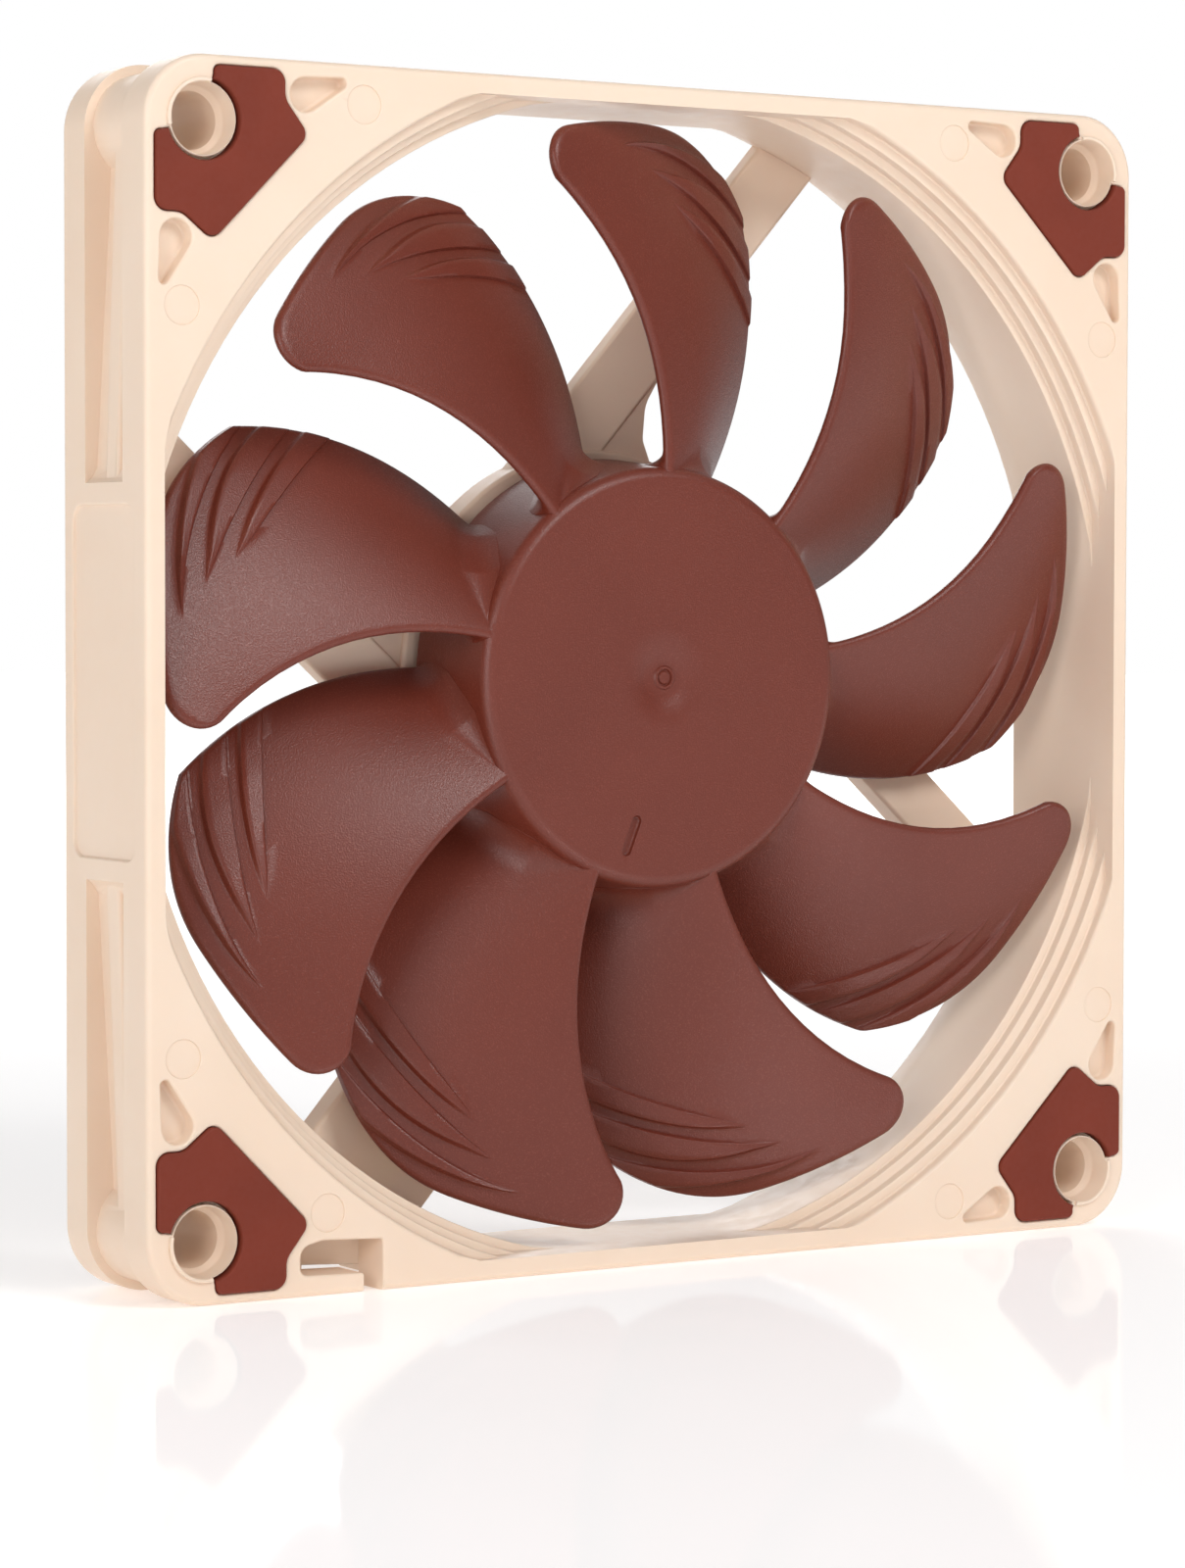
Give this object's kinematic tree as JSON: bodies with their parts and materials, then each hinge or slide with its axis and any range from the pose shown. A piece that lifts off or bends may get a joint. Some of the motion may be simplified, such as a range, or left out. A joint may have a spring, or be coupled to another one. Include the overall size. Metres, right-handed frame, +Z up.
{
  "type": "case fan",
  "caption": "Slim square case fan: a light moulded housing with a round duct, a bladed impeller on a flat hub, corner pads, struts and a brushless motor.",
  "frame": {"origin": "middle of the lower edge, halfway between the front and rear pads", "axes": "+Z up along the housing's side, +Y from the intake side to the outlet side along the fan's axis, +X to the right seen from the intake side"},
  "size_m": [0.092, 0.014, 0.092],
  "materials": {
    "housing_plastic": "satin moulded plastic, beige",
    "impeller_plastic": "fine grained moulded plastic, red brown",
    "pad_rubber": "smooth matte silicone rubber, red brown",
    "steel": "ground",
    "brass": "turned",
    "sintered_bronze": "sintered, oil filled",
    "magnet_ferrite": "bonded ferrite, dull",
    "enamelled_copper": "enamelled wire",
    "insulator_nylon": "moulded, satin",
    "board_green": "solder mask",
    "black_epoxy": "moulded package",
    "label_film": "satin film, blank"
  },
  "bodies": {
    "housing": {"frame": "housing_plastic", "front_pad_upper_right": "pad_rubber", "front_pad_upper_left": "pad_rubber", "front_pad_lower_left": "pad_rubber", "front_pad_lower_right": "pad_rubber", "rear_pad_upper_right": "pad_rubber", "rear_pad_upper_left": "pad_rubber", "rear_pad_lower_left": "pad_rubber", "rear_pad_lower_right": "pad_rubber", "bearing_tube": "brass", "sleeve_bearing": "sintered_bronze", "thrust_disc": "insulator_nylon", "stator_core": "steel", "front_insulator": "insulator_nylon", "rear_insulator": "insulator_nylon", "coil_1": "enamelled_copper", "coil_2": "enamelled_copper", "coil_3": "enamelled_copper", "coil_4": "enamelled_copper", "circuit_board": "board_green", "driver_chip": "black_epoxy", "hall_sensor": "black_epoxy", "capacitor": "insulator_nylon", "rear_label": "label_film"},
    "rotor": {"impeller": "impeller_plastic", "rotor_yoke": "steel", "ring_magnet": "magnet_ferrite", "shaft_bush": "brass", "shaft": "steel", "retaining_ring": "insulator_nylon"}
  },
  "joints": [
    {"name": "rotor_spin", "type": "hinge", "parent": "housing", "child": "rotor", "pos_m": [0, 0, 0.046], "axis": [0, -1, 0], "continuous": true}
  ]
}
